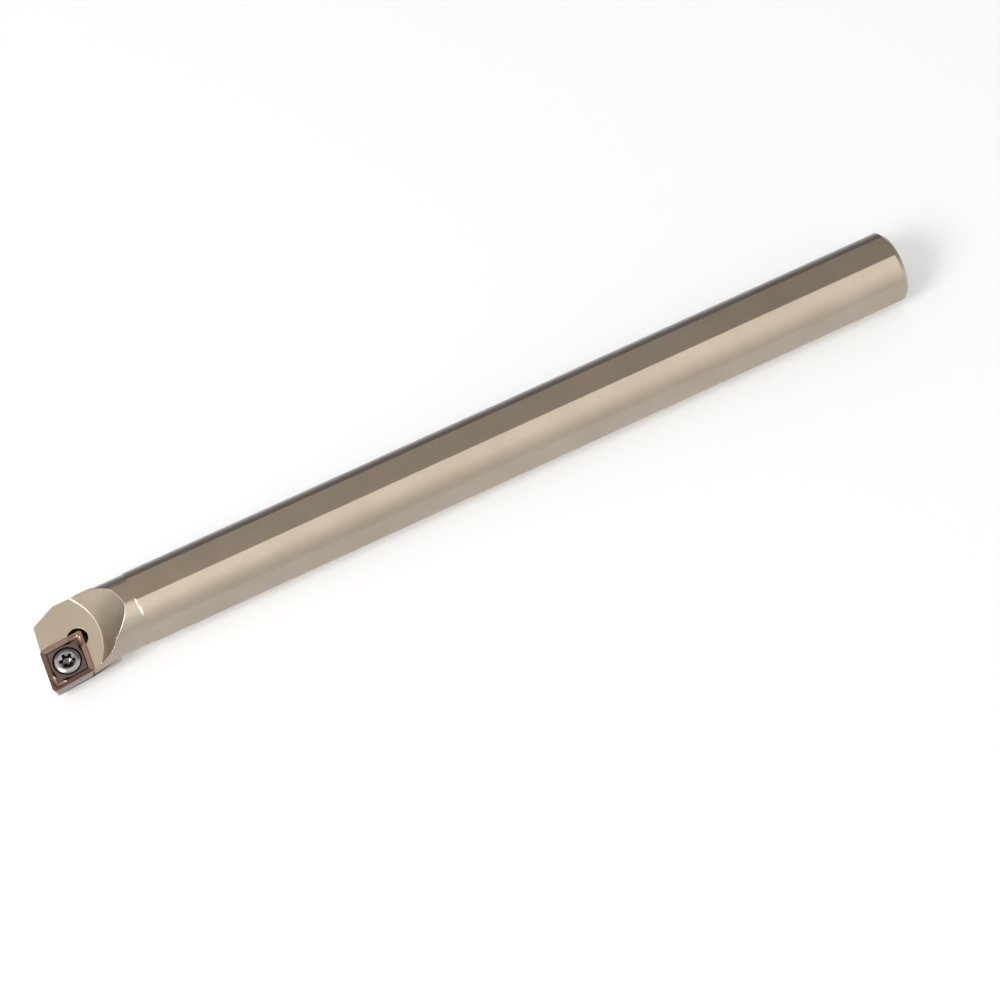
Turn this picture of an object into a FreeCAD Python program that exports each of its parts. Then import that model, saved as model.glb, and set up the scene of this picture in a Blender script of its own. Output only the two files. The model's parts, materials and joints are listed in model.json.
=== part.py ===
"""Indexable boring bar: a steel bar, its screwed-on cutting insert and the insert screw.

Units are millimetres and degrees. The origin is the centre of the shank's back face, on the
shank's axis. +X runs out of that back face, so the bar lies along -X. +Z is square to the
top flat. The cutting tip is at the -X end, on the -Y side, at the height of the axis.
"""
import FreeCAD, Part
import math
import os

from FreeCAD import Placement, Rotation, Vector

# Bar
bar_length = 203.2            # back face to cutting tip, 8 in
shank_diameter = 15.875       # 5/8 in
flat_depth = 0.53             # how deep the three flats are milled into the round shank
end_chamfer = 1.2
neck_depth = 0.19             # how far the neck is turned down
neck_front = 16.2             # cutting tip to the front end of the neck
neck_back = 23.3              # cutting tip to the back end of the neck
neck_taper = 0.5              # length of the slope at each end of the neck
side_flat_front = 21.0        # cutting tip to the round front end of the side flat
side_flat_mill_radius = 3.0   # radius of that round end

# Head
tip_overhang = 2.3725         # cutting tip beyond the side of the shank
lead_relief = 5.0             # side edge of the insert to the shank axis
insert_tilt = 10.0            # insert and head face lean down towards the tip
face_drop = 0.5               # head face below the insert's top
bulge_offset = 1.43           # shank axis to the axis of the round side wall, at the insert's heel
side_wall_inset = 0.62        # flat side wall inside the insert's side edge, at the head face
front_wall_inset = 0.16       # front wall inside the insert's front edge, at the head face
front_face_angle = 8.0        # front face beyond the insert's corner, to a square cut
wall_relief = 7.0             # walls of the head lean in below the face
far_corner_angle = 25.5       # chamfer on the far front corner, to the shank axis
far_corner_setback = 8.1      # cutting tip to where that chamfer meets the shank's side

# Chip gullet, a round groove that runs down to the head face
gullet_radius = 17.5
gullet_slope = 43.9           # its axis to the shank axis, seen from the side
gullet_turn = 8.8             # its axis to the shank axis, seen from above
gullet_foot = 13.4            # cutting tip to the groove's lowest line, along the shank
gullet_foot_side = 5.55       # cutting tip to the groove's lowest line, across the head
gullet_fillet = 0.5           # blend between the gullet and the head face

# Insert, a rhombus with relieved flanks
inscribed_circle = 9.525
insert_thickness = 3.97
corner_angle = 80.0
flank_relief = 7.0
nose_radius = 0.8
insert_hole = 4.4
insert_sink_mouth = 6.2       # mouth of the countersink for the screw head
land_width = 0.12             # flat land along the cutting edge
groove_width = 1.05           # cutting edge to the foot of the chip groove
groove_depth = 0.26
island_start = 1.3            # cutting edge to the raised middle
island_drop = 0.04            # raised middle below the cutting edge
island_tip = 1.35             # sharp cutting corner to the point of the raised middle
scallop_length = 3.3          # corner of the raised middle to the far end of its scallop
scallop_depth = 0.55          # how far a scallop bites into the raised middle

# Seat for the insert
corner_hole_radius = 2.2      # relief hole at the insert's inner corner
corner_hole_inset = 1.85      # that corner to the centre of the hole, along the diagonal
corner_hole_extra = 0.3       # how far the hole goes below the seat
thread_mouth_chamfer = 0.25   # at the top of the tapped hole

# Screw
screw_thread = 4.0
screw_pitch = 0.7
pitch_line_depth = 0.65       # thread's outside less its pitch diameter, in pitches
screw_length = 7.5            # top of the head's rim to the screw's tip
screw_drop = 0.05             # top of the head's rim below the insert's top
screw_head = 5.5
screw_rim = 0.35              # height of the head's upright rim
screw_cone = 60.0             # full angle of the head's seat
screw_tip_chamfer = 0.5
crown_height = 0.4            # raised middle of the head above its rim
crown_width = 4.0             # across the top of the raised middle
recess_mouth = 3.8            # across the chamfer round the recess's mouth
recess_mouth_depth = 0.25
recess_outside = 3.35         # six-lobe recess across its lobes
recess_inside = 2.33          # across the walls between the lobes
recess_lobe_radius = 0.42
recess_lobes = 6
recess_depth = 1.5

# Sizes worked out from those above
shank_radius = shank_diameter / 2
flat_height = shank_radius - flat_depth
neck_radius = shank_radius - neck_depth
tip_x = -bar_length
tip_reach = shank_radius + tip_overhang
neck_front_x = tip_x + neck_front
neck_back_x = tip_x + neck_back
edge_length = inscribed_circle / math.sin(math.radians(corner_angle))
thread_radius = (screw_thread - pitch_line_depth * screw_pitch) / 2
head_radius = screw_head / 2
cone_slope = math.tan(math.radians(screw_cone / 2))
flank_slope = math.tan(math.radians(flank_relief))

# Cutters reach past what they cut: a little where they end just outside the bar, and by
# more than the head's size where they clear all of one side.
spare = 1.0
over = 2 * shank_diameter
same_place = 0.01             # points nearer than this count as one
X_AXIS, Y_AXIS, Z_AXIS = Vector(1, 0, 0), Vector(0, 1, 0), Vector(0, 0, 1)

# The seat frame has its origin at the cutting tip and its X along the shank. Its XY plane
# is the insert's top plane.
seat_frame = Placement(Vector(tip_x, -tip_reach, 0), Rotation(X_AXIS, insert_tilt))


def turned(axis, points):
    """Solid of revolution about X or Z, from (distance along the axis, radius) points."""
    across = X_AXIS if axis == Z_AXIS else Z_AXIS
    outline = [axis * along + across * radius for along, radius in points]
    return Part.Face(Part.makePolygon(outline + outline[:1])).revolve(Vector(), axis, 360)


def half_space(point, outward):
    """Large box on the side of a plane that its outward direction points to."""
    box = Part.makeBox(6 * over, 6 * over, 3 * over, Vector(-3 * over, -3 * over, 0))
    box.Placement = Placement(point, Rotation(Z_AXIS, outward))
    return box


def in_seat(shape):
    """A shape made at the cutting tip, moved onto the tilted seat."""
    shape = shape.copy()
    shape.Placement = seat_frame.multiply(shape.Placement)
    return shape


def edge_directions():
    """Directions of the insert's side edge and front edge, from the cutting corner."""
    side = math.radians(lead_relief)
    front = math.radians(lead_relief + corner_angle)
    return Vector(math.cos(side), math.sin(side), 0), Vector(math.cos(front), math.sin(front), 0)


def cutting_corner():
    """Sharp corner of the insert's top outline, placed so that its rounded nose is the tip."""
    along_side, along_front = edge_directions()
    inward = (along_side + along_front).normalize()
    nose_centre = Vector(nose_radius, nose_radius, 0)
    return nose_centre - inward * (nose_radius / math.sin(math.radians(corner_angle / 2)))


def rhombus(inset, height, growth=0):
    """Corners of the insert's outline moved inwards: cutting, heel, inner and front corner.

    Growth keeps the inner corner and moves the other three outwards.
    """
    along_side, along_front = edge_directions()
    step = inset / math.sin(math.radians(corner_angle))
    side = edge_length - 2 * step + growth
    inner = cutting_corner() + (along_side + along_front) * (edge_length - step)
    inner += Z_AXIS * height
    return [inner - (along_side + along_front) * side, inner - along_front * side,
            inner, inner - along_side * side]


def frustum(lower, upper):
    """Solid between two outlines with parallel sides, lower one first."""
    middle = (lower[0] + lower[2]) * 0.5
    height = upper[0].z - lower[0].z
    block = Part.makeBox(2 * over, 2 * over, height, middle - Vector(over, over, 0))
    for corner, following, above in zip(lower, lower[1:] + lower[:1], upper):
        block = block.cut(half_space(corner, (following - corner).cross(above - corner)))
    return block.Solids[0]


def insert_centre():
    """Centre of the insert's top outline."""
    corners = rhombus(0, 0)
    return (corners[0] + corners[2]) * 0.5


def island():
    """Raised middle of the insert's top, with a scallop on each side of both 80 degree corners."""
    inner = rhombus(island_start, 0)
    sharp = rhombus(0, 0)
    sides = []
    for k in (0, 2):
        here, before, after = inner[k], inner[k - 1], inner[k + 1 - 4]
        to_before, to_after = (before - here).normalize(), (after - here).normalize()
        inward = (to_before + to_after).normalize()
        tip = sharp[k] + inward * island_tip
        start, end = here + to_before * scallop_length, here + to_after * scallop_length
        for a, b, along in ((start, tip, to_before), (tip, end, to_after)):
            across = (inward - along * inward.dot(along)).normalize()
            sides.append(Part.Arc(a, (a + b) * 0.5 + across * scallop_depth, b).toShape())
        sides.append(Part.makeLine(end, after))
        opposite = inner[k - 2]
        to_opposite = (opposite - after).normalize()
        reach = (opposite - after).Length - scallop_length
        sides.append(Part.makeLine(after, after + to_opposite * reach))
    block = Part.Face(Part.Wire(sides)).extrude(Z_AXIS * 2 * groove_depth)
    block.translate(Z_AXIS * -(2 * groove_depth + island_drop))
    return block


def screw_head_space():
    """Cone that the screw head seats in, with an upright mouth that clears the head's rim."""
    seat_top = insert_centre() - Z_AXIS * (screw_drop + screw_rim)
    height = head_radius / cone_slope
    cone = Part.makeCone(0, head_radius, height, seat_top - Z_AXIS * height, Z_AXIS)
    depth = screw_drop + screw_rim
    return cone.fuse(Part.makeCylinder(insert_sink_mouth / 2, depth + spare, seat_top, Z_AXIS))


def cutting_insert():
    """Pressed insert with a chip groove round its top and a countersunk hole."""
    bottom = rhombus(insert_thickness * flank_slope, -insert_thickness)
    body = frustum(bottom, rhombus(0, 0))
    corners = [e for e in body.Edges if e.BoundBox.ZLength > insert_thickness - same_place]
    body = body.makeFillet(nose_radius, corners)

    slope = (groove_width - land_width) / groove_depth
    groove = frustum(rhombus(groove_width, -groove_depth), rhombus(land_width - spare * slope, spare))
    body = body.cut(groove.cut(island()))
    hole_start = insert_centre() - Z_AXIS * (insert_thickness + spare)
    body = body.cut(Part.makeCylinder(insert_hole / 2, insert_thickness + 2 * spare, hole_start, Z_AXIS))
    return in_seat(body.cut(screw_head_space()).removeSplitter())


def recess():
    """Six-lobe driver recess in the top of the screw's crown, with a chamfered mouth."""
    space = Part.makeCylinder(recess_inside / 2, recess_depth)
    lobe_offset = recess_outside / 2 - recess_lobe_radius
    for k in range(recess_lobes):
        angle = 2 * math.pi * k / recess_lobes
        centre = Vector(math.cos(angle), math.sin(angle), 0) * lobe_offset
        space = space.fuse(Part.makeCylinder(recess_lobe_radius, recess_depth, centre))
    mouth = Part.makeCone(recess_outside / 2, recess_mouth / 2, recess_mouth_depth)
    mouth.translate(Z_AXIS * (recess_depth - recess_mouth_depth))
    space = space.fuse(mouth)
    space.translate(Z_AXIS * (crown_height - recess_depth))
    return space


def insert_screw():
    """Raised countersunk screw with a six-lobe recess. Its thread is a rod at the pitch line."""
    cone_end = screw_rim + (head_radius - thread_radius) / cone_slope
    tip_radius = thread_radius - screw_tip_chamfer
    body = turned(Z_AXIS, [(crown_height, 0), (crown_height, crown_width / 2),
                           (0, head_radius), (-screw_rim, head_radius),
                           (-cone_end, thread_radius),
                           (screw_tip_chamfer - screw_length, thread_radius),
                           (-screw_length, tip_radius), (-screw_length, 0)])
    screw = body.cut(recess())
    screw.translate(insert_centre() - Z_AXIS * screw_drop)
    return in_seat(screw)


def shank_and_neck():
    """Turned bar, from just past the cutting tip to the chamfered back face."""
    front = tip_x - spare
    return turned(X_AXIS, [(front, 0), (front, shank_radius),
                           (neck_front_x - neck_taper, shank_radius), (neck_front_x, neck_radius),
                           (neck_back_x - neck_taper, neck_radius), (neck_back_x, shank_radius),
                           (-end_chamfer, shank_radius), (0, shank_radius - end_chamfer), (0, 0)])


def side_bulge():
    """Round side wall under the insert, which runs along the insert's side edge."""
    swing = math.radians(lead_relief)
    direction = Vector(math.cos(swing), math.sin(swing), 0)
    at_heel = Vector(tip_x + edge_length, -bulge_offset, 0)
    bulge = Part.makeCylinder(shank_radius, 2 * over, at_heel - direction * over, direction)
    room = turned(X_AXIS, [(neck_front_x - 2 * over, 0), (neck_front_x - 2 * over, over + neck_radius),
                           (neck_front_x - over, over + neck_radius), (neck_front_x, neck_radius),
                           (neck_front_x, 0)])
    return bulge.common(room)


def flat_cutters():
    """Blocks above the top flat and below the bottom flat, and the side flat's mill path."""
    start = Vector(tip_x - spare, -over, flat_height)
    top = Part.makeBox(bar_length + 2 * spare, 2 * over, over, start)
    bottom = top.mirror(Vector(), Z_AXIS)
    mill_x = tip_x + side_flat_front + side_flat_mill_radius
    end = Part.makeCylinder(side_flat_mill_radius, over, Vector(mill_x, -flat_height, 0), -Y_AXIS)
    side = Part.makeBox(spare - mill_x, over, 2 * side_flat_mill_radius,
                        Vector(mill_x, -flat_height - over, -side_flat_mill_radius))
    return [top, bottom, end.fuse(side)]


def leaning_wall(point, outward):
    """Cutter for a wall of the head that leans in below a point of the head face."""
    lean = math.radians(wall_relief)
    return half_space(point, outward * math.cos(lean) - Z_AXIS * math.sin(lean))


def front_walls():
    """Cutters for the wall under the insert's front edge and the front face beyond it."""
    along_front = edge_directions()[1]
    out_of_edge = Vector(-along_front.y, along_front.x, 0)
    square = math.radians(front_face_angle)
    out_of_face = Vector(-math.cos(square), math.sin(square), 0)
    corner = rhombus(0, -face_drop)[3] - out_of_edge * front_wall_inset
    return [in_seat(leaning_wall(corner, outward)) for outward in (out_of_edge, out_of_face)]


def side_wall():
    """Cutter for the flat side wall under the insert, which ends at the neck."""
    side = math.radians(lead_relief)
    heel = seat_frame.multVec(rhombus(0, -face_drop)[1]) + Y_AXIS * side_wall_inset
    cutter = leaning_wall(heel, Vector(math.sin(side), -math.cos(side), 0))
    return cutter.cut(half_space(Vector(neck_front_x, 0, 0), X_AXIS))


def far_corner():
    """Cutter for the chamfered front corner on the far side of the head."""
    angle = math.radians(far_corner_angle)
    point = Vector(tip_x + far_corner_setback, shank_radius, 0)
    return half_space(point, Vector(-math.sin(angle), math.cos(angle), 0))


def gullet_axis():
    """A point on the gullet's axis and the axis direction."""
    slope = math.radians(gullet_slope)
    turn = math.radians(gullet_turn)
    ahead = Vector(math.cos(turn), -math.sin(turn), 0)
    direction = ahead * math.cos(slope) + Z_AXIS * math.sin(slope)
    foot = seat_frame.multVec(Vector(gullet_foot, gullet_foot_side, -face_drop))
    square = Z_AXIS * math.cos(slope) - ahead * math.sin(slope)
    return foot + square * gullet_radius, direction


def chip_gullet():
    """Round sloping groove above the head face, which also clears the space over the face."""
    point, direction = gullet_axis()
    groove = Part.makeCylinder(gullet_radius, 4 * over, point - direction * 2 * over, direction)
    return groove.common(in_seat(half_space(Vector(0, 0, -face_drop), Z_AXIS)))


def blend_gullet(bar):
    """The bar with a fillet where the gullet runs out into the head face."""
    point, direction = gullet_axis()
    to_seat = seat_frame.inverse()

    def on_foot(p):
        off_groove = abs(p.distanceToLine(point, direction) - gullet_radius)
        off_face = abs(to_seat.multVec(p).z + face_drop)
        return max(off_groove, off_face) < same_place

    foot = [edge for edge in bar.Edges if all(on_foot(p) for p in edge.discretize(5))]
    return bar.makeFillet(gullet_fillet, foot)


def seat_cutters():
    """The insert's pocket, the relief hole at its inner corner, and the tapped hole."""
    depth = insert_thickness
    pocket = frustum(rhombus(depth * flank_slope, -depth, over), rhombus(-spare * flank_slope, spare, over))
    along_side, along_front = edge_directions()
    inner = rhombus(0, -depth - corner_hole_extra)[2]
    hole_foot = inner - (along_side + along_front).normalize() * corner_hole_inset
    hole = Part.makeCylinder(corner_hole_radius, depth + corner_hole_extra + spare, hole_foot, Z_AXIS)
    middle = insert_centre()
    thread = Part.makeCylinder(thread_radius, over, middle - Z_AXIS * over, Z_AXIS)
    mouth = Part.makeCone(thread_radius, thread_radius + thread_mouth_chamfer, thread_mouth_chamfer,
                          middle - Z_AXIS * (depth + thread_mouth_chamfer), Z_AXIS)
    return [in_seat(cutter) for cutter in (pocket, hole, thread, mouth)]


def bar_body():
    """Steel bar: shank with three flats, neck, and head with its gullet and insert seat."""
    bar = shank_and_neck().fuse(side_bulge())
    for cutter in flat_cutters() + front_walls() + [side_wall(), far_corner(), chip_gullet()]:
        bar = bar.cut(cutter)
    bar = blend_gullet(bar.removeSplitter())
    for cutter in seat_cutters():
        bar = bar.cut(cutter)
    return bar.removeSplitter()


os.makedirs("parts", exist_ok=True)
for make in (bar_body, cutting_insert, insert_screw):
    piece = make()
    print(make.__name__, len(piece.Solids), "solid", len(piece.Faces), "faces", "valid", piece.isValid(),
          round(piece.Volume, 2), "mm3", piece.optimalBoundingBox(False))
    piece.exportStep(os.path.join("parts", make.__name__ + ".step"))
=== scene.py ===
import json
import math
from typing import NamedTuple

import bmesh
import bpy
from bpy.props import FloatProperty, FloatVectorProperty, PointerProperty
from bpy.types import Operator, Panel, PropertyGroup
from mathutils import Matrix, Vector

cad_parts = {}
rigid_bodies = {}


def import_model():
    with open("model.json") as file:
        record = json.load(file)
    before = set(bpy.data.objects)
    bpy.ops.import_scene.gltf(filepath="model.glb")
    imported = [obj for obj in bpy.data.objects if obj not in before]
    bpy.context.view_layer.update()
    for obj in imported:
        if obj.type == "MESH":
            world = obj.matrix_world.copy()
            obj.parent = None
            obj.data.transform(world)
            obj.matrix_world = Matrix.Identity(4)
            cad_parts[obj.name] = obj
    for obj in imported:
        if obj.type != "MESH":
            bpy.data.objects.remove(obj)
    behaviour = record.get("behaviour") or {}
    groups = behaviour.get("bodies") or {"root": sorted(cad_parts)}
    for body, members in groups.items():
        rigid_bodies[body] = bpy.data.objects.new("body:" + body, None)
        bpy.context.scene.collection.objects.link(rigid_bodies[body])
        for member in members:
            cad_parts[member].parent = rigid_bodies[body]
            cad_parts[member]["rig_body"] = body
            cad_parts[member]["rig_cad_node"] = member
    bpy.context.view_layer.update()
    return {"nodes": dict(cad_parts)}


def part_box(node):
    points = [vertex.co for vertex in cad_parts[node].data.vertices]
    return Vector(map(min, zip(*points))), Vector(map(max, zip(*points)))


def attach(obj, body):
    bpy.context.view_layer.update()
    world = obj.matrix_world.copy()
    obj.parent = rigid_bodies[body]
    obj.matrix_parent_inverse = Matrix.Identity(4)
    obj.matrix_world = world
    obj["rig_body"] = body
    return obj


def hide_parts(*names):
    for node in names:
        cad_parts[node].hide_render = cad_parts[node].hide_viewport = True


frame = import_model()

bl_info = {
    "name": "Indexable Boring Bar",
    "version": (1, 0, 0),
    "blender": (4, 5, 0),
    "location": "View3D > Sidebar > Boring Bar",
    "description": "Dresses a boring bar, its cutting insert and its insert screw",
    "category": "Object",
}

# The insert and the screw are modelled in millimetres round the insert's centre, with X
# along the long diagonal and Z out of the insert's top, and then placed on their seat.
MM = 0.001
NEAR = 1e-4                 # points nearer than this, in millimetres, count as one
MARGIN = 0.01               # a face nearer than this to a height lies at it
SLACK = 0.02                # room left where faces are told apart by their place
SPARE = 1.0                 # cutters reach this far past what they cut
OVERLAP = 0.02              # cutters that meet reach this far into each other
ROUND = 96                  # sides of a turned piece
EDGE_STEPS = 2              # steps across the round on an edge
AREA_WEIGHT = 100           # lets large faces lead the shading
FINE_SHARP = math.radians(30)       # sharper edges of the insert and screw stay sharp in the shading

# Insert
INSCRIBED_RADIUS = 4.7625
THICKNESS = 3.97
CORNER_ANGLE = math.radians(80)
FLANK_RELIEF = math.radians(7)
NOSE_RADIUS = 0.8
NOSE_STEPS = 10
HALF_LONG = INSCRIBED_RADIUS / math.sin(CORNER_ANGLE / 2)
HALF_SHORT = INSCRIBED_RADIUS / math.cos(CORNER_ANGLE / 2)
HOLE_RADIUS = 2.2
MOUTH_RADIUS = 3.1
INSERT_TILT = math.radians(10)
DIAGONAL_TURN = math.radians(45)
INSERT_MERGE = 0.003        # vertices nearer than this are merged
INSERT_FLAT = math.radians(0.5)     # faces that meet flatter than this become one
INSERT_ROUNDED = math.radians(14)   # edges sharper than this are rounded

# Raised middle of the insert
ISLAND_GAP = 0.04           # groove's foot to the foot of the raised middle's walls
ISLAND_TIP = 6.06           # insert's centre to the raised middle's points
ISLAND_TIP_SPREAD = 4.0     # half-width, at the centre, of the wedges that end in those points
BITE_START = 3.3            # corner of the raised middle's straight sides to a bite's far end
BITE_DEPTH = 0.55

# Scoops of the insert
SCOOP_START = 1.0           # cutting corner to a scoop's near end, along the cutting edge
SCOOP_INSET = 0.95          # cutting edge to a scoop's middle
SCOOP_SIDES, SCOOP_RINGS = 48, 32

# Coatings of the insert and the painted shade in its countersink and on its raised middle's walls, in
# the order of its materials, and how their faces are told apart; the scoops' coating is painted
# lighter as a highlight
RIM, MIDDLE, FLANK, SINK, SCOOP_COATING_AND_HIGHLIGHT, WALL_SHADE = range(6)
LEVEL = 0.99                # a face lies level when its normal rises more than this
SCOOP_REACH = 0.3           # the scoops end above this depth below the chip groove's floor
FLANK_START = 0.25          # the flanks start at this depth below it

# Bar
CAD_MERGE = 0.002           # vertices of the CAD mesh nearer than this are merged
CAD_FLAT = math.radians(0.3)        # its faces that meet flatter than this become one
BAR_ROUNDED = math.radians(24)      # edges sharper than this are rounded
BAR_SHARP = math.radians(40)        # edges sharper than this stay sharp in the shading
NECK_FRONT, NECK_BACK = 15.0, 25.0  # cutting tip to places just before and just behind the neck
NECK_SHARP = math.radians(10)       # edges round the neck sharper than this stay sharp too

# Relief hole of the bar, where shade is painted, from the insert's centre
HOLE_NEAR, HOLE_FAR = 2.5, 8.5
HOLE_HALF_WIDTH = 2.4
HOLE_WALL_TOP = -0.6
HOLE_WALL_STEEP = 0.3       # a face is a wall when its normal rises or falls less than this
HOLE_LOWEST = -5.0
HOLE_FLOOR_TOP = 0.1 - THICKNESS    # just above the insert's underside
HOLE_ROUGHNESS = 0.6

# Screw
SCREW_DROP = 0.05
HEAD_RADIUS = 2.75
HEAD_RIM = 0.35
CONE_SLOPE = math.tan(math.radians(30))
SCREW_LENGTH = 7.5
THREAD_PITCH = 0.7
THREAD_CREST = 1.97
THREAD_ROOT = 1.58
THREAD_START = 0.5          # screw's tip to its first turn of thread
THREAD_STOP = 0.3           # last turn of thread to the head's cone, at least
CREST_START, CREST_END, ROOT_START = 0.22, 0.34, 0.56   # within a turn of thread
TIP_CHAMFER = 0.35
# Heights and radii of the crown
CROWN = ((-0.05, 2.75), (0.02, 2.7), (0.1, 2.58), (0.18, 2.44), (0.25, 2.28), (0.3, 2.13), (0.33, 2.0))
CROWN_TOP = 0.345
CROWN_TOP_RADIUS = 1.9
LOBES = 6
DRILL_DEPTH = 0.6           # recess's bottom to the drill's point
DRILL_POINT = 0.1           # radius of that point
RECESS_MOUTH = 1.88         # radius where the chamfer meets the crown's top
MOUTH_SPREAD = 1.35         # how much the chamfer widens for each step up
MOUTH_REACH = 0.6           # crown's top to the lower end of the chamfer's cutter
# The recess's wall and bottom materials are painted shade on the head's steel
HEAD, RECESS_SHADE, BOTTOM_SHADE = range(3)     # its steels, in the order of its materials
RECESS_STEEP = 0.4          # a face is a wall when its normal rises or falls less than this

# Sockets of a node that mixes colours
MIX_FIRST, MIX_SECOND, MIX_RESULT = 6, 7, 2

# Patterns of the finishes, in patches to the metre
NOISE_LOW, NOISE_HIGH = 0.25, 0.75  # nearly all of a noise lies between these
CLOUDS = 90
MOTTLE = 900
PATCHES = 700
STREAKS = 2600
GRAIN = 9000
ROUND_THE_SHANK = (1, 0.03, 0.03)   # draws a pattern out round the shank
MOTTLE_SHARE = 0.35         # how much of the shade the mottle brings
SHADE = 0.8                 # a tone's darker shade, as a share of it

# How far a roughness goes below and above its middle value
PLATING_WANDER = (0.04, 0.05)
COATING_WANDER = (0.05, 0.08)
STEEL_WANDER = (0.06, 0.08)

# Depths of the bumps, in metres
TURNED_DEPTH = 4e-7
MOTTLE_DEPTH = 4e-6
STREAK_DEPTH = 2e-6
GRAIN_DEPTH = 8e-7
MIDDLE_GRAIN_DEPTH = 1e-6
PATCH_BUMP = 4              # patches are this many times as deep as the grain

# Studio, in metres
FLOOR_SIZE = 8
FLOOR_GAP = 2e-5            # bar's lowest point down to the floor
FLOOR_WHITE = 0.8
LAMP_PLACE = (-0.85, -0.38, 0.85)   # from the bar's middle
LAMP_SIZE = 0.5
CARD_LIFT = 3e-4            # bar's lowest point up to the level of the cards' feet
CARD_LENGTH = 3.2
CLIP_START, CLIP_END = 0.01, 20
SENSOR_WIDTH = 36.0         # in millimetres


class Card(NamedTuple):
    """A flat card that only the metal sees, which fades from one tone to another."""

    name: str
    middle: tuple           # from the level of the cards' feet, under the bar's middle
    size: tuple
    turns: tuple            # tilt about X and then turn about Z, in degrees
    direction: tuple        # the tone changes in this direction
    span: tuple             # places along it where the change starts and ends
    tones: tuple            # the studio settings that hold the two tones


CARDS = (
    Card("back_card", middle=(0, 0.8, 1.7), size=(CARD_LENGTH, 3.4), turns=(90, -30),
         direction=(-0.3, 0, 1), span=(0, 3.4), tones=("back_low", "back_high")),
    Card("front_card", middle=(0, -1.0, 0.45), size=(CARD_LENGTH, 0.9), turns=(90, -30),
         direction=(0.8, 0, 1), span=(0.05, 0.8), tones=("front_low", "front_high")),
    Card("left_card", middle=(-1.3, 0.3, 0.3), size=(2.6, 0.6), turns=(90, 90),
         direction=(0, 1, 0), span=(-0.1, 1.0), tones=("left_front", "left_back")),
    Card("back_mat", middle=(0, 0.412, 0), size=(CARD_LENGTH, 0.776), turns=(0, 0),
         direction=(0, 1, 0), span=(0.024, 0.075), tones=("back_mat", "back_low")),
    Card("front_mat", middle=(0, -0.503, 0), size=(CARD_LENGTH, 0.994), turns=(0, 0),
         direction=(0, 1, 0), span=(-0.01, -0.15), tones=("front_mat", "front_low")),
    Card("end_mat", middle=(0.725, 0.009, 0), size=(1.2, 0.03), turns=(0, 0),
         direction=(0, 1, 0), span=(-0.006, 0.015), tones=("front_mat", "end_mat")),
)


def colour(name, description, default):
    """A colour that a user would change."""
    return FloatVectorProperty(name=name, description=description, default=default, subtype="COLOR",
                               size=3, min=0, max=1)


def length(name, description, millimetres):
    """A length that a user would change, given in millimetres."""
    return FloatProperty(name=name, description=description, default=millimetres * MM, min=0,
                         unit="LENGTH", subtype="DISTANCE", precision=5)


def share(name, description, default):
    """A number from 0 to 1 that a user would change."""
    return FloatProperty(name=name, description=description, default=default, min=0, max=1,
                         subtype="FACTOR")


def angle(name, description, degrees):
    """An angle that a user would change, given in degrees."""
    return FloatProperty(name=name, description=description, default=math.radians(degrees),
                         unit="ROTATION", subtype="ANGLE")


class BarSettings(PropertyGroup):
    """Edges and finish of the steel bar."""

    edge_break: length("Edge break", "Width of the small round on the machined edges", 0.12)
    plating: colour("Plating", "Satin plating of the bar", (0.68, 0.585, 0.46))
    plating_shade: colour("Plating shade", "Darker patches of the plating", (0.6, 0.505, 0.39))
    # hole_shade: painted shade, a dark tone on the relief hole's walls and floor where little light
    # reaches
    hole_shade: colour("Hole shade", "Unpolished steel in the relief hole", (0.1, 0.07, 0.05))
    roughness: share("Roughness", "How matt the plating is", 0.33)


class InsertSettings(PropertyGroup):
    """Chip groove and coating of the cutting insert."""

    land: length("Land", "Flat land along the cutting edge", 0.12)
    groove_width: length("Groove width", "Cutting edge to the foot of the chip groove", 1.05)
    groove_depth: length("Groove depth", "Depth of the chip groove", 0.18)
    island_start: length("Island start", "Cutting edge to the raised middle", 1.3)
    island_drop: length("Island drop", "Raised middle below the cutting edge", 0.04)
    scoop_length: length("Scoop length", "Length of a scoop beside a cutting corner", 2.7)
    scoop_width: length("Scoop width", "Width of a scoop", 1.2)
    scoop_depth: length("Scoop depth", "Depth of a scoop below the cutting edge", 0.42)
    edge_round: length("Edge round", "Round on the pressed edges", 0.05)
    rim: colour("Rim", "Coating on the rim and the chip groove", (0.225, 0.092, 0.038))
    middle: colour("Middle", "Coating on the raised middle", (0.2, 0.138, 0.125))
    # scoop: coating in the scoops, painted lighter and pinker than the rim as a highlight
    scoop: colour("Scoop", "Coating in the scoops", (0.34, 0.22, 0.17))
    # wall: painted shade, the dark line where the raised middle's walls fall in shadow
    wall: colour("Wall", "Coating on the raised middle's walls", (0.045, 0.03, 0.025))
    flank: colour("Flank", "Coating on the flanks", (0.5, 0.42, 0.39))
    # sink: painted shade, near-black steel in the countersink round the screw's head
    sink: colour("Countersink", "Shaded steel round the screw's head", (0.02, 0.018, 0.016))


class ScrewSettings(PropertyGroup):
    """Recess and finish of the insert screw."""

    lobe_offset: length("Lobe offset", "Screw axis to the centre of a lobe", 1.255)
    lobe_radius: length("Lobe radius", "Radius of a lobe of the recess", 0.42)
    recess_core: length("Recess core", "Radius inside the lobes", 1.165)
    recess_depth: length("Recess depth", "Depth of the recess", 1.5)
    steel: colour("Steel", "Bare steel of the head", (0.47, 0.46, 0.44))
    # recess and bottom: painted shade, the steel darkened on the recess's walls and, less, on its
    # bottom
    recess: colour("Recess", "Oiled steel on the recess's walls", (0.04, 0.037, 0.035))
    bottom: colour("Bottom", "Oiled steel on the recess's bottom", (0.2, 0.185, 0.17))


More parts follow.
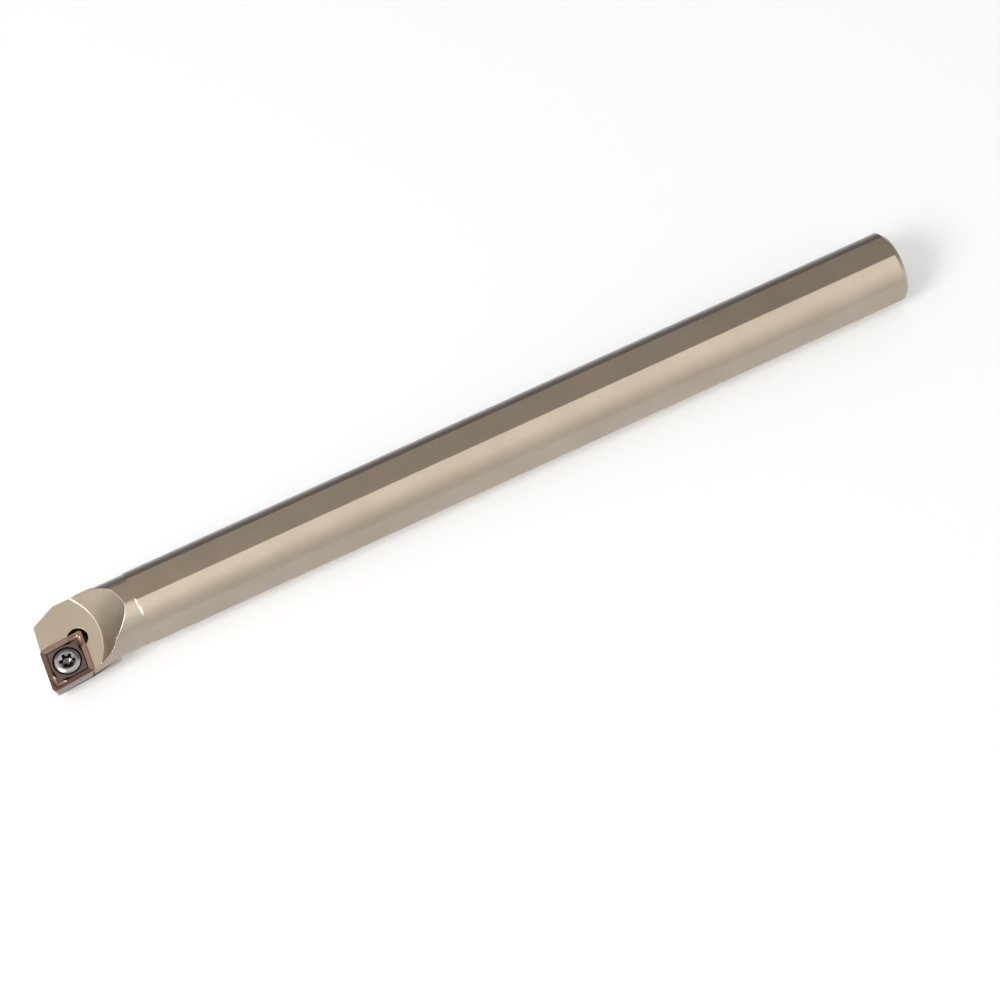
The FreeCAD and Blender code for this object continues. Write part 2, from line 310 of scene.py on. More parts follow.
class StudioSettings(PropertyGroup):
    """Camera, lamp, cards and floor."""

    azimuth: angle("Azimuth", "Camera's turn round the bar", -17.68)
    elevation: angle("Elevation", "Camera's height above the floor, as an angle", 56.42)
    roll: angle("Roll", "Camera's turn about its own view", -9.76)
    distance: length("Distance", "Camera to the middle of the bar", 675.91)
    aim_right: length("Aim right", "Middle of the view, right of the bar's middle", 5.24)
    aim_down: length("Aim down", "Middle of the view, below the bar's middle", 9.71)
    lens: FloatProperty(name="Lens", description="Focal length in millimetres", default=114.28)
    soft_light: share("Soft light", "Strength of the even light on dull surfaces", 0.6)
    floor_glow: share("Floor glow", "Share of the floor's white that no shadow darkens", 0.25)
    key_power: FloatProperty(name="Key power", description="Power of the soft lamp", default=9.0,
                             unit="POWER")
    back_low: colour("Back, low", "Foot of the card behind the bar", (0.115, 0.118, 0.135))
    back_high: colour("Back, high", "Top of the card behind the bar", (0.74, 0.65, 0.58))
    front_low: colour("Front, low", "Foot of the card in front of the bar", (0.54, 0.525, 0.52))
    front_high: colour("Front, high", "Top of the card in front of the bar", (0.85, 0.85, 0.85))
    left_front: colour("Left, front", "Front of the card on the head's side", (0.6, 0.59, 0.58))
    left_back: colour("Left, back", "Back of the card on the head's side", (0.1, 0.095, 0.09))
    back_mat: colour("Mat behind", "Near edge of the mat behind the bar", (0.72, 0.79, 0.93))
    front_mat: colour("Mat in front", "Near edge of the mat in front of the bar", (0.66, 0.66, 0.7))
    end_mat: colour("Mat at the end", "Mat beside the shank's end", (0.2, 0.17, 0.14))


def deselect_all():
    """Object mode, with nothing selected."""
    if bpy.context.mode != "OBJECT":
        bpy.ops.object.mode_set(mode="OBJECT")
    bpy.ops.object.select_all(action="DESELECT")


def pick(piece):
    """Makes a piece the only selected one."""
    deselect_all()
    piece.select_set(True)
    bpy.context.view_layer.objects.active = piece


def edit(piece, kind, test):
    """Edit mode, with the vertices, edges or faces selected that pass a test."""
    pick(piece)
    bpy.ops.object.mode_set(mode="EDIT")
    bpy.ops.mesh.select_mode(type=kind)
    bpy.ops.mesh.select_all(action="DESELECT")
    mesh = bmesh.from_edit_mesh(piece.data)
    for element in {"VERT": mesh.verts, "EDGE": mesh.edges, "FACE": mesh.faces}[kind]:
        if test(element):
            element.select_set(True)
    mesh.select_flush_mode()
    bmesh.update_edit_mesh(piece.data)


def everything(_element):
    """A test that all elements pass."""
    return True


def face_outwards(piece):
    """Turns a closed mesh's faces outwards."""
    edit(piece, "FACE", everything)
    bpy.ops.mesh.normals_make_consistent(inside=False)
    bpy.ops.object.mode_set(mode="OBJECT")


def apply_modifier(piece, kind, **values):
    """Adds a modifier and applies it."""
    pick(piece)
    modifier = piece.modifiers.new(kind, kind)
    for name, value in values.items():
        setattr(modifier, name, value)
    bpy.ops.object.modifier_apply(modifier=modifier.name)


def combine(piece, tool, operation):
    """Cuts a tool from a piece or joins it to the piece, and removes the tool."""
    apply_modifier(piece, "BOOLEAN", operation=operation, object=tool, solver="EXACT")
    bpy.data.objects.remove(tool)


def lathe(name, stations, centre=(0, 0)):
    """Closed turned piece about an upright axis, from (height, radius) stations."""
    height, radius = stations[0]
    deselect_all()
    bpy.ops.mesh.primitive_circle_add(vertices=ROUND, radius=radius, fill_type="NGON",
                                      location=(*centre, height))
    piece = bpy.context.object
    piece.name = name
    bpy.ops.object.transform_apply()
    edit(piece, "FACE", everything)
    for next_height, next_radius in stations[1:]:
        bpy.ops.mesh.extrude_region_move(
            TRANSFORM_OT_translate={"value": (0, 0, next_height - height)})
        ratio = next_radius / radius
        bpy.ops.transform.resize(value=(ratio, ratio, 1), center_override=(*centre, 0))
        height, radius = next_height, next_radius
    face_outwards(piece)
    return piece


def angle_to_lobe(point):
    """Angle round the axis from a point to the nearest lobe of the recess."""
    part = math.tau / LOBES
    turn = math.atan2(point.y, point.x) % part
    return min(turn, part - turn)


def outline(inset):
    """Half-lengths along X and Y of the insert's outline, moved in by an inset."""
    ratio = 1 - inset / INSCRIBED_RADIUS
    return HALF_LONG * ratio, HALF_SHORT * ratio


def scoop_place(half_length):
    """Middle of the scoop at the positive corner, with its long and its short direction."""
    along = Vector((-HALF_LONG, HALF_SHORT)).normalized()
    inward = Vector((-HALF_SHORT, -HALF_LONG)).normalized()
    middle = Vector((HALF_LONG, 0)) + along * (half_length + SCOOP_START) + inward * SCOOP_INSET
    return middle, along, inward


def diamond(name, low, low_halves, high, high_halves):
    """Four-sided block between two diamonds, each given by its height and half-lengths."""
    deselect_all()
    bpy.ops.mesh.primitive_cylinder_add(vertices=4, radius=1, depth=high - low,
                                        location=(0, 0, (low + high) / 2))
    piece = bpy.context.object
    piece.name = name
    bpy.ops.object.transform_apply()
    for level, halves in ((low, low_halves), (high, high_halves)):
        edit(piece, "VERT", lambda v: abs(v.co.z - level) < NEAR)
        bpy.ops.transform.resize(value=(*halves, 1), center_override=(0, 0, 0))
    face_outwards(piece)
    return piece


def smooth(piece, sharp):
    """Smooth shading that keeps edges sharper than an angle."""
    pick(piece)
    bpy.ops.object.shade_smooth_by_angle(angle=sharp)
    apply_modifier(piece, "WEIGHTED_NORMAL", keep_sharp=True, weight=AREA_WEIGHT)


def seat_matrix():
    """From millimetres round the insert's centre to metres in the bar's frame."""
    low, _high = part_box("cutting_insert")
    tip = Vector((low.x, low.y, 0))
    nose = NOSE_RADIUS * (1 - 1 / math.sin(CORNER_ANGLE / 2) / math.sqrt(2))
    middle = nose + HALF_LONG / math.sqrt(2)
    return (Matrix.Translation(tip) @ Matrix.Rotation(INSERT_TILT, 4, "X") @ Matrix.Scale(MM, 4)
            @ Matrix.Translation((middle, middle, 0)) @ Matrix.Rotation(DIAGONAL_TURN, 4, "Z"))


def on_seat(piece):
    """Moves a piece modelled in millimetres onto the tilted seat, with its place in its mesh."""
    piece.matrix_world = seat_matrix()
    pick(piece)
    bpy.ops.object.transform_apply()


class Finish:
    """A material's nodes, with short calls for what the finishes here share."""

    def __init__(self, name):
        self.material = bpy.data.materials.new(name)
        self.material.use_nodes = True
        self.tree = self.material.node_tree
        self.shader = self.tree.nodes["Principled BSDF"]
        self.place = self.node("ShaderNodeTexCoord").outputs["Object"]

    def node(self, kind, **values):
        made = self.tree.nodes.new(kind)
        for name, value in values.items():
            setattr(made, name, value)
        return made

    def link(self, source, target):
        self.tree.links.new(source, target)

    def noise(self, per_metre, stretch=(1, 1, 1), detail=3.0):
        """Noise of so many patches to the metre, drawn out along the axes with a low stretch."""
        mapping = self.node("ShaderNodeMapping")
        mapping.inputs["Scale"].default_value = stretch
        self.link(self.place, mapping.inputs["Vector"])
        noise = self.node("ShaderNodeTexNoise")
        noise.inputs["Scale"].default_value = per_metre
        noise.inputs["Detail"].default_value = detail
        self.link(mapping.outputs["Vector"], noise.inputs["Vector"])
        return noise.outputs["Fac"]

    def spread(self, value, low, high):
        """A noise value, spread between two numbers."""
        spread = self.node("ShaderNodeMapRange")
        spread.inputs["From Min"].default_value = NOISE_LOW
        spread.inputs["From Max"].default_value = NOISE_HIGH
        spread.inputs["To Min"].default_value = low
        spread.inputs["To Max"].default_value = high
        self.link(value, spread.inputs["Value"])
        return spread.outputs["Result"]

    def blend(self, factor, first, second):
        """Mixes two colours, each a colour or a socket."""
        mix = self.node("ShaderNodeMix", data_type="RGBA")
        self.link(factor, mix.inputs["Factor"])
        for number, source in ((MIX_FIRST, first), (MIX_SECOND, second)):
            if hasattr(source, "node"):
                self.link(source, mix.inputs[number])
            else:
                mix.inputs[number].default_value = (*source, 1)
        return mix.outputs[MIX_RESULT]

    def bump(self, heights):
        """Chains bumps from (height, depth in metres) pairs."""
        normal = None
        for height, depth in heights:
            bump = self.node("ShaderNodeBump")
            bump.inputs["Distance"].default_value = depth
            self.link(height, bump.inputs["Height"])
            if normal:
                self.link(normal, bump.inputs["Normal"])
            normal = bump.outputs["Normal"]
        self.link(normal, self.shader.inputs["Normal"])

    def shaded(self, pattern, tone):
        """A tone that a pattern takes to its own darker shade."""
        shade = tuple(SHADE * value for value in tone)
        return self.blend(self.spread(pattern, 0, 1), tone, shade)

    def metal(self, tone, pattern, roughness, wander, bumps):
        """Makes the shader a metal, with a roughness that wanders with a pattern."""
        shader = self.shader.inputs
        below, above = wander
        shader["Metallic"].default_value = 1.0
        self.link(tone, shader["Base Color"])
        self.link(self.spread(pattern, roughness - below, roughness + above), shader["Roughness"])
        self.bump(bumps)
        return self.material


def dull(shader):
    """Takes all gloss from a shader."""
    shader.inputs["Roughness"].default_value = 1.0
    shader.inputs["Specular IOR Level"].default_value = 0.0


def plating_finish(name, tone, shade, roughness):
    """Satin nickel plating over machined steel."""
    finish = Finish(name)
    clouds = finish.noise(CLOUDS, detail=2)
    mottle = finish.noise(MOTTLE, detail=4)
    turned = finish.noise(GRAIN, stretch=ROUND_THE_SHANK, detail=2)
    cloudy = finish.blend(finish.spread(clouds, 0, 1), tone, shade)
    mottled = finish.blend(finish.spread(mottle, 0, MOTTLE_SHARE), cloudy, shade)
    return finish.metal(mottled, mottle, roughness, PLATING_WANDER,
                        ((turned, TURNED_DEPTH), (mottle, MOTTLE_DEPTH)))


def coating_finish(name, tone, roughness, grain_depth=GRAIN_DEPTH):
    """Hard coating over pressed carbide."""
    finish = Finish(name)
    patches = finish.noise(PATCHES)
    grain = finish.noise(GRAIN)
    return finish.metal(finish.shaded(patches, tone), grain, roughness, COATING_WANDER,
                        ((patches, grain_depth * PATCH_BUMP), (grain, grain_depth)))


def screw_finish(name, tone, roughness):
    """Turned bright steel."""
    finish = Finish(name)
    streaks = finish.noise(STREAKS, detail=4)
    return finish.metal(finish.shaded(streaks, tone), streaks, roughness, STEEL_WANDER,
                        ((streaks, STREAK_DEPTH),))


def paint(piece, materials, choose):
    """Gives a piece its materials, with the number of each face's material from its centre and
    normal in millimetres round the insert's centre."""
    to_insert = seat_matrix().inverted()
    turn = to_insert.to_3x3().normalized()
    piece.data.materials.clear()
    for material in materials:
        piece.data.materials.append(material)
    for face in piece.data.polygons:
        face.material_index = choose(to_insert @ face.center, turn @ face.normal)


def dress(piece, node):
    """Lets a piece stand for a node of the model."""
    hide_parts(node)
    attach(piece, "root")


class BORINGBAR_OT_bar(Operator):
    """Rounds the machined edges of the steel bar and plates it."""

    bl_idname = "boringbar.bar"
    bl_label = "Steel Bar"

    def execute(self, context):
        settings = context.scene.boring_bar
        pick(frame["nodes"]["bar_body"])
        bpy.ops.object.duplicate()
        bar = context.object
        bar.name = "steel_bar"
        bar.parent = None
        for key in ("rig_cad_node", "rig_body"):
            del bar[key]
        edit(bar, "VERT", everything)
        bpy.ops.mesh.remove_doubles(threshold=CAD_MERGE * MM)
        bpy.ops.mesh.dissolve_limited(angle_limit=CAD_FLAT, use_dissolve_boundaries=False)
        bpy.ops.object.mode_set(mode="OBJECT")
        apply_modifier(bar, "BEVEL", width=settings.edge_break, segments=EDGE_STEPS,
                       limit_method="ANGLE", angle_limit=BAR_ROUNDED, use_clamp_overlap=False,
                       miter_outer="MITER_ARC")
        self.sharpen_neck(bar)
        smooth(bar, BAR_SHARP)
        plating = plating_finish("satin_plating", settings.plating, settings.plating_shade,
                                 settings.roughness)
        # Painted shade: a second, dark plating on the relief hole's faces
        shade = plating_finish("hole_shade", settings.hole_shade, settings.hole_shade,
                               HOLE_ROUGHNESS)
        paint(bar, (plating, shade), self.in_hole)
        dress(bar, "bar_body")
        return {"FINISHED"}

    @staticmethod
    def sharpen_neck(bar):
        """Keeps the edges across the bar sharp where its neck starts and ends."""
        tip, _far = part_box("cutting_insert")

        def across_neck(edge):
            first, second = (v.co.x - tip.x for v in edge.verts)
            across = abs(first - second) < NEAR * MM and NECK_FRONT * MM < first < NECK_BACK * MM
            return across and edge.is_manifold and edge.calc_face_angle() > NECK_SHARP

        edit(bar, "EDGE", across_neck)
        bpy.ops.mesh.mark_sharp()
        bpy.ops.object.mode_set(mode="OBJECT")

    @staticmethod
    def in_hole(place, normal):
        """1 for the faces of the relief hole, which take the painted shade, and 0 for all others."""
        in_reach = HOLE_NEAR < place.x < HOLE_FAR and abs(place.y) < HOLE_HALF_WIDTH
        wall = abs(normal.z) < HOLE_WALL_STEEP and place.z < HOLE_WALL_TOP
        bottom = HOLE_LOWEST < place.z < HOLE_FLOOR_TOP
        return int(in_reach and (wall or bottom))


class BORINGBAR_OT_insert(Operator):
    """Presses the cutting insert with its chip groove, raised middle and scoops."""

    bl_idname = "boringbar.insert"
    bl_label = "Cutting Insert"

    def execute(self, context):
        settings = context.scene.boring_insert
        insert = self.block()
        groove = self.groove(settings)
        combine(groove, self.island(settings), "DIFFERENCE")
        combine(insert, groove, "DIFFERENCE")
        for side_x in (-1, 1):
            for side_y in (-1, 1):
                combine(insert, self.scoop(settings, side_x, side_y), "DIFFERENCE")
        hole = lathe("hole", [(-THICKNESS - SPARE, HOLE_RADIUS), (SPARE, HOLE_RADIUS)])
        combine(insert, hole, "DIFFERENCE")
        combine(insert, self.countersink(), "DIFFERENCE")
        edit(insert, "VERT", everything)
        bpy.ops.mesh.remove_doubles(threshold=INSERT_MERGE)
        bpy.ops.mesh.dissolve_limited(angle_limit=INSERT_FLAT)
        apply_modifier(insert, "BEVEL", width=settings.edge_round / MM, segments=EDGE_STEPS,
                       limit_method="ANGLE", angle_limit=INSERT_ROUNDED)
        smooth(insert, FINE_SHARP)
        on_seat(insert)
        insert.name = "coated_insert"
        coatings = (coating_finish("rim_coating", settings.rim, roughness=0.4),
                    coating_finish("middle_coating", settings.middle, roughness=0.42,
                                   grain_depth=MIDDLE_GRAIN_DEPTH),
                    coating_finish("flank_coating", settings.flank, roughness=0.38),
                    # Painted shade in the countersink
                    coating_finish("countersink_shade", settings.sink, roughness=0.6),
                    # Coating in the scoops, with a painted highlight in its lighter tone
                    coating_finish("scoop_coating_highlight", settings.scoop, roughness=0.3),
                    # Painted shade on the raised middle's walls
                    coating_finish("painted_wall_shade", settings.wall, roughness=0.4))
        paint(insert, coatings, self.coating_chooser(settings))
        dress(insert, "cutting_insert")
        return {"FINISHED"}

    @staticmethod
    def coating_chooser(settings):
        """A function that gives each face of the insert the number of its coating."""
        plateau = -settings.island_drop / MM
        floor = -settings.groove_depth / MM
        foot = settings.groove_width / MM + MARGIN
        half_length, half_width = settings.scoop_length / MM / 2, settings.scoop_width / MM / 2
        middle, along, inward = scoop_place(half_length)

        def choose(place, normal):
            if normal.z > LEVEL and abs(place.z - plateau) < MARGIN:
                return MIDDLE
            # The countersink takes the painted shade
            if place.xy.length < MOUTH_RADIUS + MARGIN:
                return SINK
            corner = Vector((abs(place.x), abs(place.y))) - middle
            # The scoops take the lighter coating with its painted highlight
            if (corner.dot(along) / half_length) ** 2 + (corner.dot(inward) / half_width) ** 2 < 1:
                return SCOOP_COATING_AND_HIGHLIGHT if floor - SCOOP_REACH < place.z < -SLACK else FLANK
            inset = INSCRIBED_RADIUS * (1 - abs(place.x) / HALF_LONG - abs(place.y) / HALF_SHORT)
            # The raised middle's walls take the painted shade
            if inset > foot and place.z > floor - SLACK:
                return WALL_SHADE
            return FLANK if place.z < floor - FLANK_START else RIM

        return choose

    @staticmethod
    def countersink():
        """Space of the screw's head and cone and all above them."""
        seat = -SCREW_DROP - HEAD_RIM
        inner = HOLE_RADIUS / 2
        return lathe("sink", [(seat - (HEAD_RADIUS - inner) / CONE_SLOPE, inner), (seat, HEAD_RADIUS),
                              (seat, MOUTH_RADIUS), (SPARE, MOUTH_RADIUS)])

    @staticmethod
    def block():
        """The relieved rhombic block, with its corners rounded."""
        block = diamond("insert", -THICKNESS, outline(THICKNESS * math.tan(FLANK_RELIEF)), 0,
                        outline(0))
        sharp = NOSE_RADIUS / math.tan(CORNER_ANGLE / 2)
        blunt = NOSE_RADIUS * math.tan(CORNER_ANGLE / 2)
        for axis, setback in ((0, sharp), (1, blunt)):
            edit(block, "EDGE", lambda e: all(abs(v.co[1 - axis]) < NEAR for v in e.verts)
                 and abs(e.verts[0].co.z - e.verts[1].co.z) > THICKNESS / 2)
            bpy.ops.mesh.bevel(offset_type="OFFSET", offset=setback, segments=NOSE_STEPS, profile=0.5,
                               affect="EDGES", clamp_overlap=False)
        face_outwards(block)
        return block

    @staticmethod
    def groove(settings):
        """Space of the chip groove and all above it."""
        land, width, depth = (v / MM for v in (settings.land, settings.groove_width,
                                               settings.groove_depth))
        slope = (width - land) / depth
        return diamond("groove", -depth, outline(width), SPARE, outline(land - SPARE * slope))

    @staticmethod
    def island(settings):
        """Raised middle with pointed ends and a bite on each side of both points."""
        start, depth, top = (v / MM for v in (settings.island_start, settings.groove_depth,
                                              -settings.island_drop))
        width = settings.groove_width / MM
        lean = (start - width - ISLAND_GAP) / (depth + top)
        foot = -depth - SPARE
        spread = (top - foot) * lean
        island = diamond("island", foot, outline(start - spread), top, outline(start))
        tip = Vector((ISLAND_TIP, ISLAND_TIP_SPREAD))
        from_centre = tip.x * tip.y / tip.length
        wedges = diamond("wedges", foot, tip * (1 + spread / from_centre), top, tip)
        combine(island, wedges, "UNION")
        corner_x, corner_y = outline(start)
        side = Vector((-corner_x, corner_y)).normalized()
        far_end = Vector((corner_x, 0)) + side * BITE_START
        near_end = Vector((ISLAND_TIP, 0))
        chord = far_end - near_end
        # Radius of the arc that is BITE_DEPTH deep over this chord
        radius = chord.length_squared / 8 / BITE_DEPTH + BITE_DEPTH / 2
        outward = Vector((chord.y, -chord.x)).normalized()
        centre = (far_end + near_end) / 2 + outward * (radius - BITE_DEPTH)
        for side_x in (-1, 1):
            for side_y in (-1, 1):
                bite = lathe("bite", [(foot, radius - spread), (SPARE, radius + (SPARE - top) * lean)],
                             centre=(side_x * centre.x, side_y * centre.y))
                combine(island, bite, "DIFFERENCE")
        return island

    @staticmethod
    def scoop(settings, side_x, side_y):
        """One of the four scoops beside the two sharper corners."""
        half_length, half_width = settings.scoop_length / MM / 2, settings.scoop_width / MM / 2
        depth = settings.scoop_depth / MM
        deselect_all()
        bpy.ops.mesh.primitive_uv_sphere_add(segments=SCOOP_SIDES, ring_count=SCOOP_RINGS, radius=1)
        scoop = bpy.context.object
        middle, along, _inward = scoop_place(half_length)
        turn = math.atan2(side_y * along.y, side_x * along.x)
        scoop.matrix_world = (Matrix.Translation((side_x * middle.x, side_y * middle.y, 0))
                              @ Matrix.Rotation(turn, 4, "Z")
                              @ Matrix.Diagonal((half_length, half_width, depth, 1)))
        bpy.ops.object.transform_apply()
        return scoop


class BORINGBAR_OT_screw(Operator):
    """Turns the insert screw and cuts its six-lobe recess."""

    bl_idname = "boringbar.screw"
    bl_label = "Insert Screw"

    def execute(self, context):
        settings = context.scene.boring_screw
        screw = lathe("screw", self.profile())
        for tool in self.recess(settings):
            combine(screw, tool, "DIFFERENCE")
        face_outwards(screw)
        smooth(screw, FINE_SHARP)
        on_seat(screw)
        screw.name = "socket_screw"
        edge = (settings.lobe_offset + settings.lobe_radius) / MM + SLACK
        floor = CROWN_TOP - settings.recess_depth / MM

        # Faces in the recess take the painted shade
        def choose(place, normal):
            in_recess = place.xy.length < edge and floor - SPARE < place.z < CROWN_TOP
            if in_recess and place.z < floor - MARGIN:
                return BOTTOM_SHADE
            wall = abs(normal.z) < RECESS_STEEP or place.z < floor + MARGIN
            return RECESS_SHADE if in_recess and wall else HEAD

        paint(screw, (screw_finish("screw_steel", settings.steel, roughness=0.19),
                      # Painted shade on the recess's walls and bottom
                      screw_finish("screw_recess_shade", settings.recess, roughness=0.3),
                      screw_finish("screw_bottom_shade", settings.bottom, roughness=0.25)), choose)
        dress(screw, "insert_screw")
        return {"FINISHED"}

    @staticmethod
    def profile():
        """Heights and radii from the screw's tip up to its crown."""
        rim = -SCREW_DROP
        tip = rim - SCREW_LENGTH
        cone_end = rim - HEAD_RIM - (HEAD_RADIUS - THREAD_ROOT) / CONE_SLOPE
        stations = [(tip, THREAD_ROOT - TIP_CHAMFER), (tip + TIP_CHAMFER, THREAD_ROOT)]
        height = tip + THREAD_START
        while height + THREAD_PITCH < cone_end - THREAD_STOP:
            stations += [(height + CREST_START, THREAD_CREST), (height + CREST_END, THREAD_CREST),
                         (height + ROOT_START, THREAD_ROOT), (height + THREAD_PITCH, THREAD_ROOT)]
            height += THREAD_PITCH
        return stations + [(cone_end, THREAD_ROOT), (rim - HEAD_RIM, HEAD_RADIUS), *CROWN,
                           (CROWN_TOP, CROWN_TOP_RADIUS)]

    @staticmethod
    def recess(settings):
        """Cutters of the recess: its six lobes, its drilled bottom and its chamfered mouth."""
        core, lobe, offset, depth = (v / MM for v in (settings.recess_core, settings.lobe_radius,
                                                      settings.lobe_offset, settings.recess_depth))
        floor = CROWN_TOP - depth
        star = lathe("recess", [(floor, 1), (SPARE, 1)])
        for step in range(ROUND // LOBES // 2 + 1):
            turn = math.tau * step / ROUND
            aside = offset * math.sin(turn)
            radius = core
            if aside < lobe:
                radius = max(core, offset * math.cos(turn) + math.sqrt(lobe ** 2 - aside ** 2))
            edit(star, "VERT", lambda v: abs(angle_to_lobe(v.co) - turn) < math.pi / ROUND)
            bpy.ops.transform.resize(value=(radius, radius, 1), center_override=(0, 0, 0))
        bpy.ops.object.mode_set(mode="OBJECT")
        drill = lathe("drill", [(floor - DRILL_DEPTH, DRILL_POINT), (floor + OVERLAP, core - OVERLAP)])
        mouth = lathe("mouth", [(height, RECESS_MOUTH + MOUTH_SPREAD * (height - CROWN_TOP))
                                for height in (CROWN_TOP - MOUTH_REACH, SPARE)])
        return star, drill, mouth


class BORINGBAR_OT_stage(Operator):
    """Sets the floor, the lamp, the cards, the surroundings and the camera."""

    bl_idname = "boringbar.stage"
    bl_label = "Stage"

    def execute(self, context):
        settings = context.scene.boring_studio
        self.floor(settings)
        self.surroundings(context.scene, settings)
        self.lamp(settings)
        for row in CARDS:
            self.card(row, settings)
        self.camera(context.scene, settings)
        context.scene.view_settings.view_transform = "Standard"
        return {"FINISHED"}

    @staticmethod
    def seen_directly(nodes, links):
        """1 for what the camera sees, itself or in a metal or glass, and 0 for other light."""
        path = nodes.new("ShaderNodeLightPath")
        total = path.outputs["Is Camera Ray"]
        for name in ("Is Glossy Ray", "Is Transmission Ray"):
            larger = nodes.new("ShaderNodeMath")
            larger.operation = "MAXIMUM"
            links.new(total, larger.inputs[0])
            links.new(path.outputs[name], larger.inputs[1])
            total = larger.outputs["Value"]
        return total

    def floor(self, settings):
        """White floor that keeps the bar's shadow."""
        low, _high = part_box("bar_body")
        deselect_all()
        bpy.ops.mesh.primitive_plane_add(size=FLOOR_SIZE, location=(0, 0, low.z - FLOOR_GAP))
        floor = bpy.context.object
        floor.name = "floor"
        bpy.ops.object.transform_apply()
        material = bpy.data.materials.new("floor_white")
        material.use_nodes = True
        nodes, links = material.node_tree.nodes, material.node_tree.links
        shader = nodes["Principled BSDF"]
        shader.inputs["Base Color"].default_value = (FLOOR_WHITE, FLOOR_WHITE, FLOOR_WHITE, 1)
        dull(shader)
        strength = nodes.new("ShaderNodeMath")
        strength.operation = "MULTIPLY"
        strength.inputs[1].default_value = settings.floor_glow
        links.new(self.seen_directly(nodes, links), strength.inputs[0])
        shader.inputs["Emission Color"].default_value = (1, 1, 1, 1)
        links.new(strength.outputs["Value"], shader.inputs["Emission Strength"])
        floor.data.materials.append(material)

    def surroundings(self, scene, settings):
        """White all round where it is seen, and even soft light on dull surfaces."""
        world = bpy.data.worlds.new("studio")
        scene.world = world
        world.use_nodes = True
        nodes, links = world.node_tree.nodes, world.node_tree.links
        background = nodes["Background"]
        background.inputs["Color"].default_value = (1, 1, 1, 1)
        strength = nodes.new("ShaderNodeMapRange")
        strength.inputs["To Min"].default_value = settings.soft_light
        strength.inputs["To Max"].default_value = 1.0
        links.new(self.seen_directly(nodes, links), strength.inputs["Value"])
        links.new(strength.outputs["Result"], background.inputs["Strength"])

    @staticmethod
    def lamp(settings):
        """Square soft lamp, up on the left and a little in front of the bar."""
        low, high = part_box("bar_body")
        away = Vector(LAMP_PLACE)
        deselect_all()
        bpy.ops.object.light_add(type="AREA", location=(low + high) / 2 + away)
        lamp = bpy.context.object
        lamp.name = "key"
        lamp.data.size = LAMP_SIZE
        lamp.data.energy = settings.key_power
        lamp.rotation_euler = (-away).to_track_quat("-Z", "Y").to_euler()

    @staticmethod
    def card(row, settings):
        """Stands or lays the card that a row of CARDS describes."""
        low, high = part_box("bar_body")
        foot = Vector(((low.x + high.x) / 2, 0, low.z + CARD_LIFT))
        tilt, turn = (math.radians(degrees) for degrees in row.turns)
        deselect_all()
        bpy.ops.mesh.primitive_plane_add(size=1)
        card = bpy.context.object
        card.name = row.name
        card.matrix_world = (Matrix.Translation(foot + Vector(row.middle))
                             @ Matrix.Rotation(turn, 4, "Z") @ Matrix.Rotation(tilt, 4, "X")
                             @ Matrix.Diagonal((*row.size, 1, 1)))
        bpy.ops.object.transform_apply()
        finish = Finish(row.name)
        along = finish.node("ShaderNodeVectorMath", operation="DOT_PRODUCT")
        finish.link(finish.place, along.inputs[0])
        along.inputs[1].default_value = row.direction
        fade = finish.node("ShaderNodeMapRange")
        fade.inputs["From Min"].default_value, fade.inputs["From Max"].default_value = row.span
        finish.link(along.outputs["Value"], fade.inputs["Value"])
        first, second = (getattr(settings, name) for name in row.tones)
        tone = finish.blend(fade.outputs["Result"], first, second)
        finish.shader.inputs["Base Color"].default_value = (0, 0, 0, 1)
        dull(finish.shader)
        finish.shader.inputs["Emission Strength"].default_value = 1.0
        finish.link(tone, finish.shader.inputs["Emission Color"])
        card.data.materials.append(finish.material)
        card.visible_camera = card.visible_diffuse = card.visible_shadow = False

    @staticmethod
    def camera(scene, settings):
        """Camera at the photograph's angle."""
        middle = Vector((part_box("cutting_insert")[0].x / 2, 0, 0))
        turn, rise, roll = settings.azimuth, settings.elevation, settings.roll
        back = Vector((math.sin(turn) * math.cos(rise), -math.cos(turn) * math.cos(rise),
                       math.sin(rise)))
        level = Vector((math.cos(turn), math.sin(turn), 0))
        upright = back.cross(level)
        right = math.cos(roll) * level + math.sin(roll) * upright
        up = math.cos(roll) * upright - math.sin(roll) * level
        place = middle + back * settings.distance + right * settings.aim_right - up * settings.aim_down
        deselect_all()
        bpy.ops.object.camera_add()
        camera = bpy.context.object
        camera.matrix_world = Matrix((right, up, back)).transposed().to_4x4()
        camera.location = place
        camera.data.sensor_width = SENSOR_WIDTH
        camera.data.lens = settings.lens
        camera.data.clip_start, camera.data.clip_end = CLIP_START, CLIP_END
        scene.camera = camera


class BORINGBAR_PT_panel(Panel):
    """Lists the pieces, their sizes and their colours."""

    bl_idname = "BORINGBAR_PT_panel"
    bl_label = "Boring Bar"
    bl_space_type = "VIEW_3D"
    bl_region_type = "UI"
    bl_category = "Boring Bar"

    def draw(self, context):
        for operator, group in STEPS:
            box = self.layout.box()
            box.operator(operator.bl_idname)
            settings = getattr(context.scene, group)
            for name in settings.__annotations__:
                box.prop(settings, name)


STEPS = (
    (BORINGBAR_OT_bar, "boring_bar"),
    (BORINGBAR_OT_insert, "boring_insert"),
    (BORINGBAR_OT_screw, "boring_screw"),
    (BORINGBAR_OT_stage, "boring_studio"),
)
GROUPS = {"boring_bar": BarSettings, "boring_insert": InsertSettings, "boring_screw": ScrewSettings,
          "boring_studio": StudioSettings}


def register():
    for group in GROUPS.values():
        bpy.utils.register_class(group)
    for name, group in GROUPS.items():
        setattr(bpy.types.Scene, name, PointerProperty(type=group))
    for operator, _group in STEPS:
        bpy.utils.register_class(operator)
    bpy.utils.register_class(BORINGBAR_PT_panel)


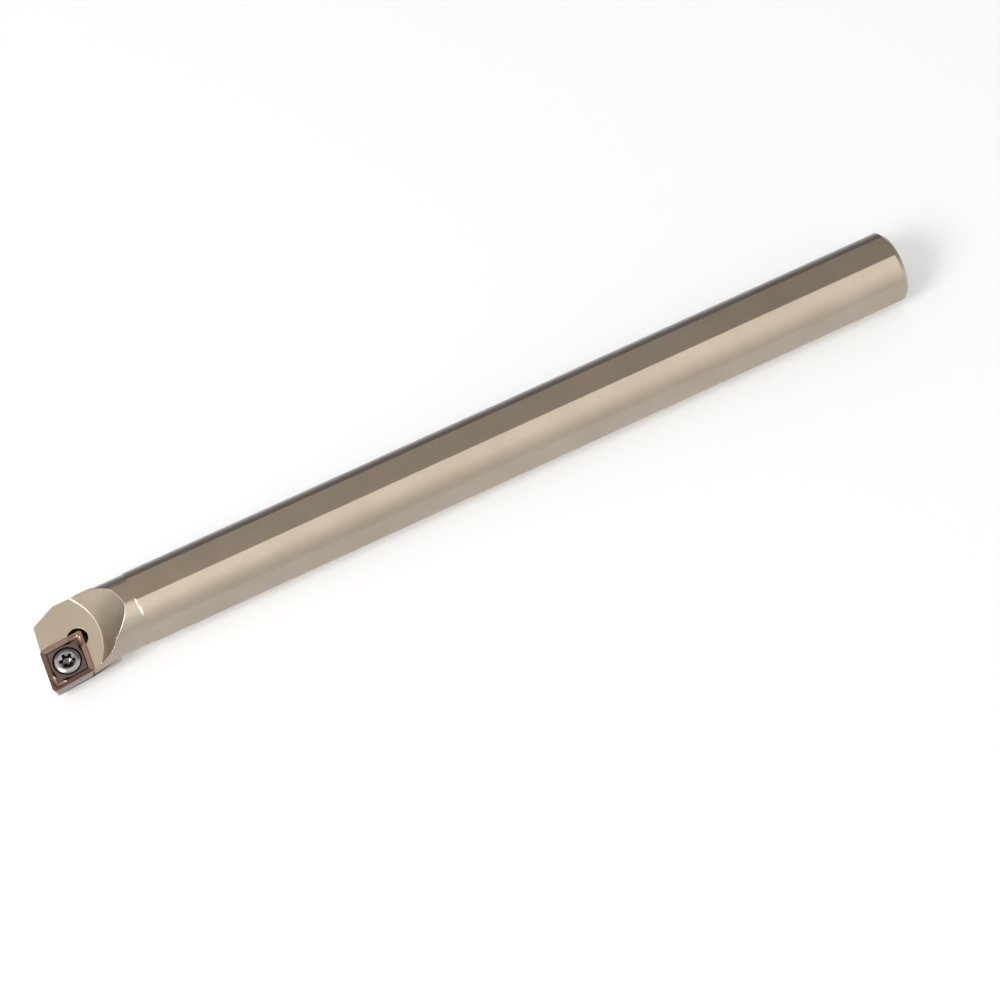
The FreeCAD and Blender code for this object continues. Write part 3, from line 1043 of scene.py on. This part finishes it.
def unregister():
    bpy.utils.unregister_class(BORINGBAR_PT_panel)
    for operator, _group in reversed(STEPS):
        bpy.utils.unregister_class(operator)
    for name, group in GROUPS.items():
        delattr(bpy.types.Scene, name)
        bpy.utils.unregister_class(group)


def main():
    register()
    bpy.ops.boringbar.bar()
    bpy.ops.boringbar.insert()
    bpy.ops.boringbar.screw()
    bpy.ops.boringbar.stage()


if __name__ == "__main__":
    main()
